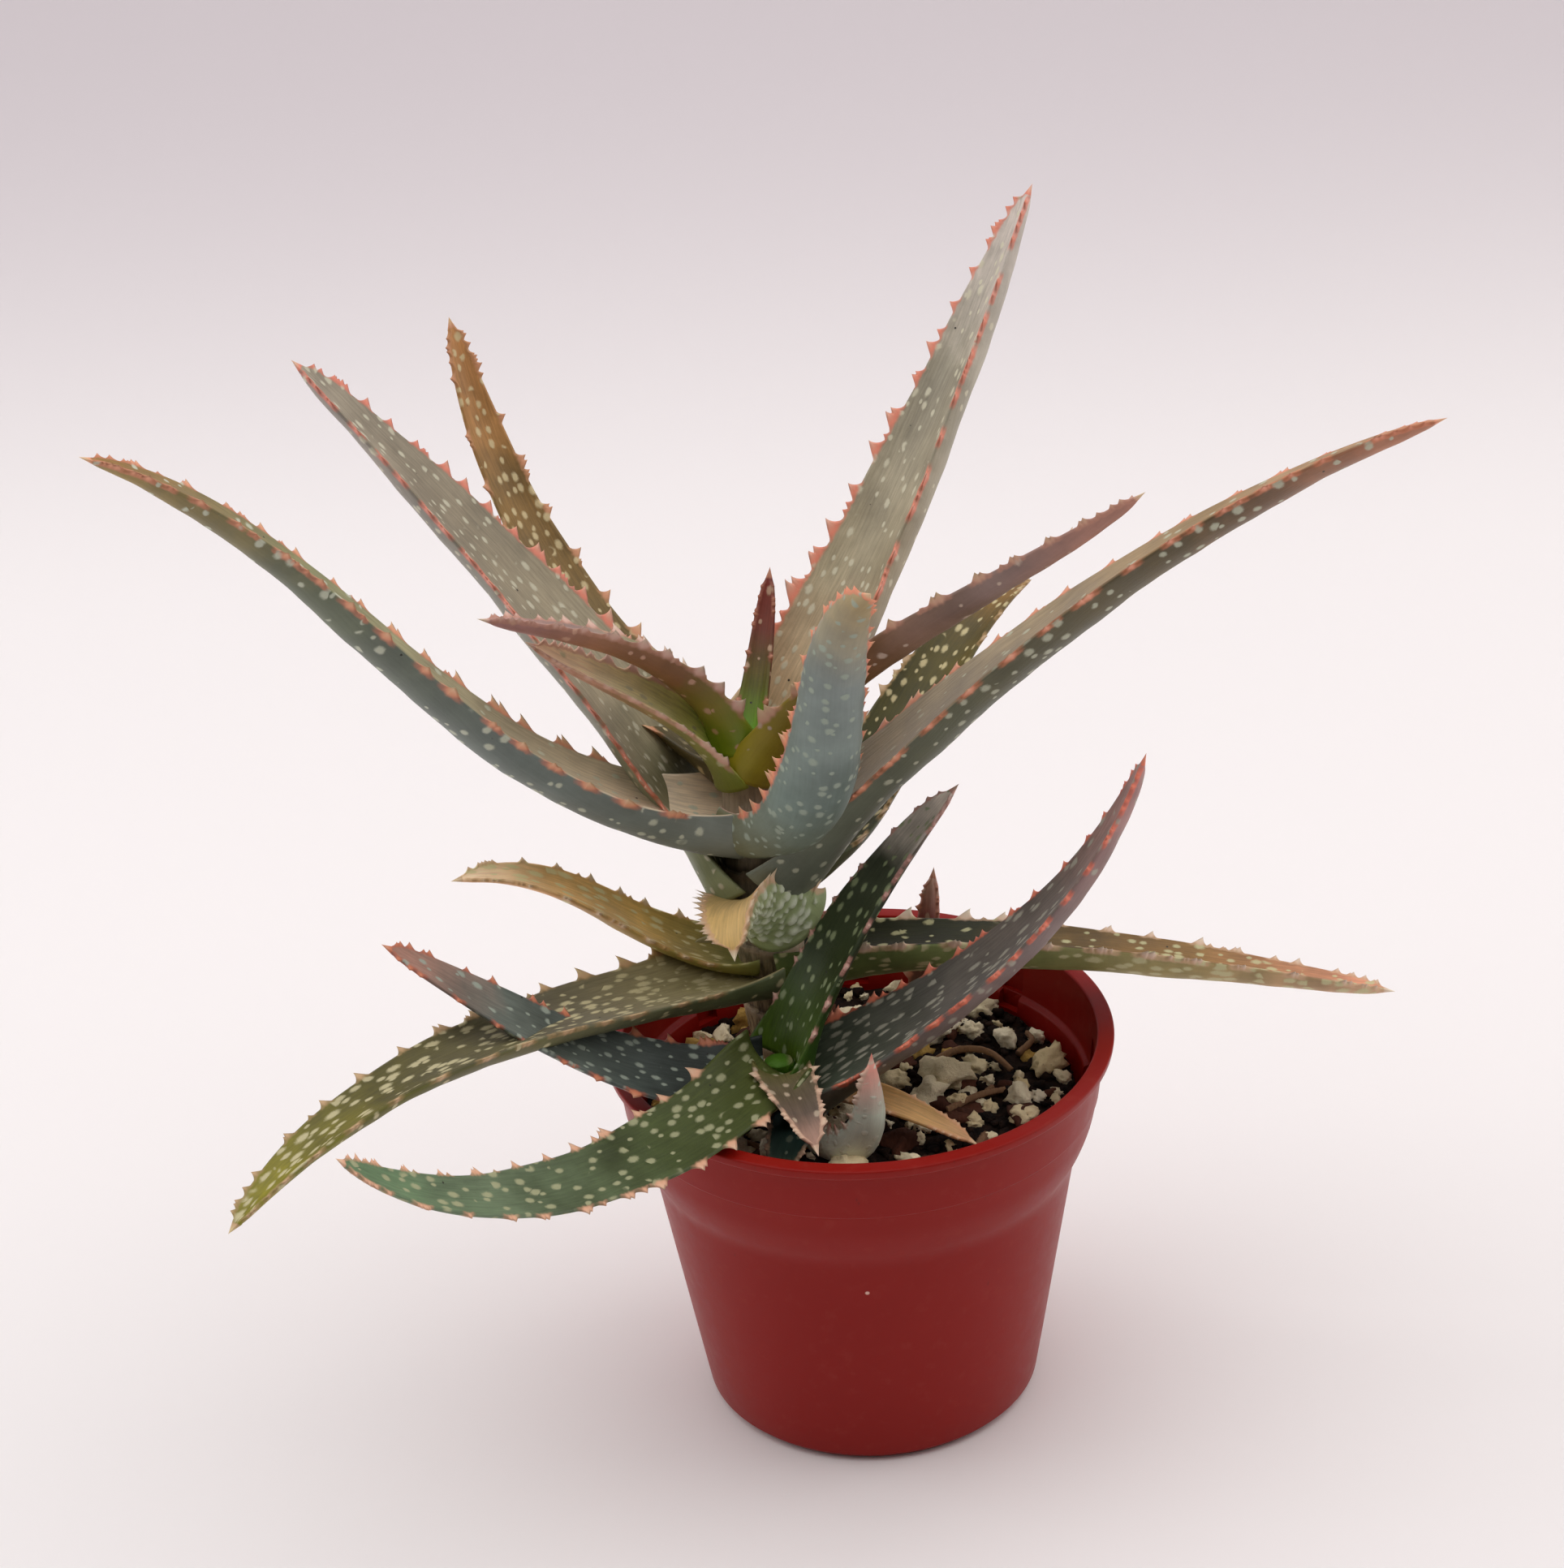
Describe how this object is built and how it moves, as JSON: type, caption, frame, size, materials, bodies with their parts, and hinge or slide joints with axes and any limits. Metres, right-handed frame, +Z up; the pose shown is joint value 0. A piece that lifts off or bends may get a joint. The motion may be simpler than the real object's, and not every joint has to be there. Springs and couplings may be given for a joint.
{
  "type": "potted aloe millotii hybrid",
  "caption": "Spotted, toothed aloe with a leaning stem and a small offset, growing in gritty soil in a round red-brown plastic nursery pot.",
  "frame": {"origin": "centre of the pot's flat underside, on the surface that the pot stands on", "axes": "+Z up, -Y towards the viewer in the front view, +X to the viewer's right"},
  "size_m": [0.1966, 0.1554, 0.1945],
  "materials": {
    "pot": "satin red-brown plastic",
    "soil": "dark peat with cream mineral grains and bark",
    "stem": "dull grey-brown stem with leaf scars",
    "leaf": "satin grey-green fleshy leaf with pale spots",
    "dry_leaf": "dull dried tan leaf"
  },
  "bodies": {
    "root": {"pot": "pot", "soil": "soil", "main_stem": "stem", "pup_stem": "stem", "leaf_left_long": "leaf", "leaf_upper_left": "leaf", "leaf_back_left": "leaf", "leaf_inner_left": "leaf", "leaf_inner_left_low": "leaf", "leaf_spike": "leaf", "leaf_inner_right": "leaf", "leaf_tall": "leaf", "leaf_front": "leaf", "leaf_right_long": "leaf", "leaf_back_right": "leaf", "leaf_front_curled": "leaf", "leaf_old_left": "leaf", "leaf_left_low": "leaf", "leaf_right_low": "leaf", "pup_leaf_left": "leaf", "pup_leaf_front_left": "leaf", "pup_leaf_right": "leaf", "pup_leaf_upright": "leaf", "pup_leaf_curled": "leaf", "pup_leaf_pale": "leaf", "pup_leaf_shaded": "leaf", "pup_leaf_dried": "dry_leaf", "sucker_spike": "leaf"}
  },
  "joints": []
}
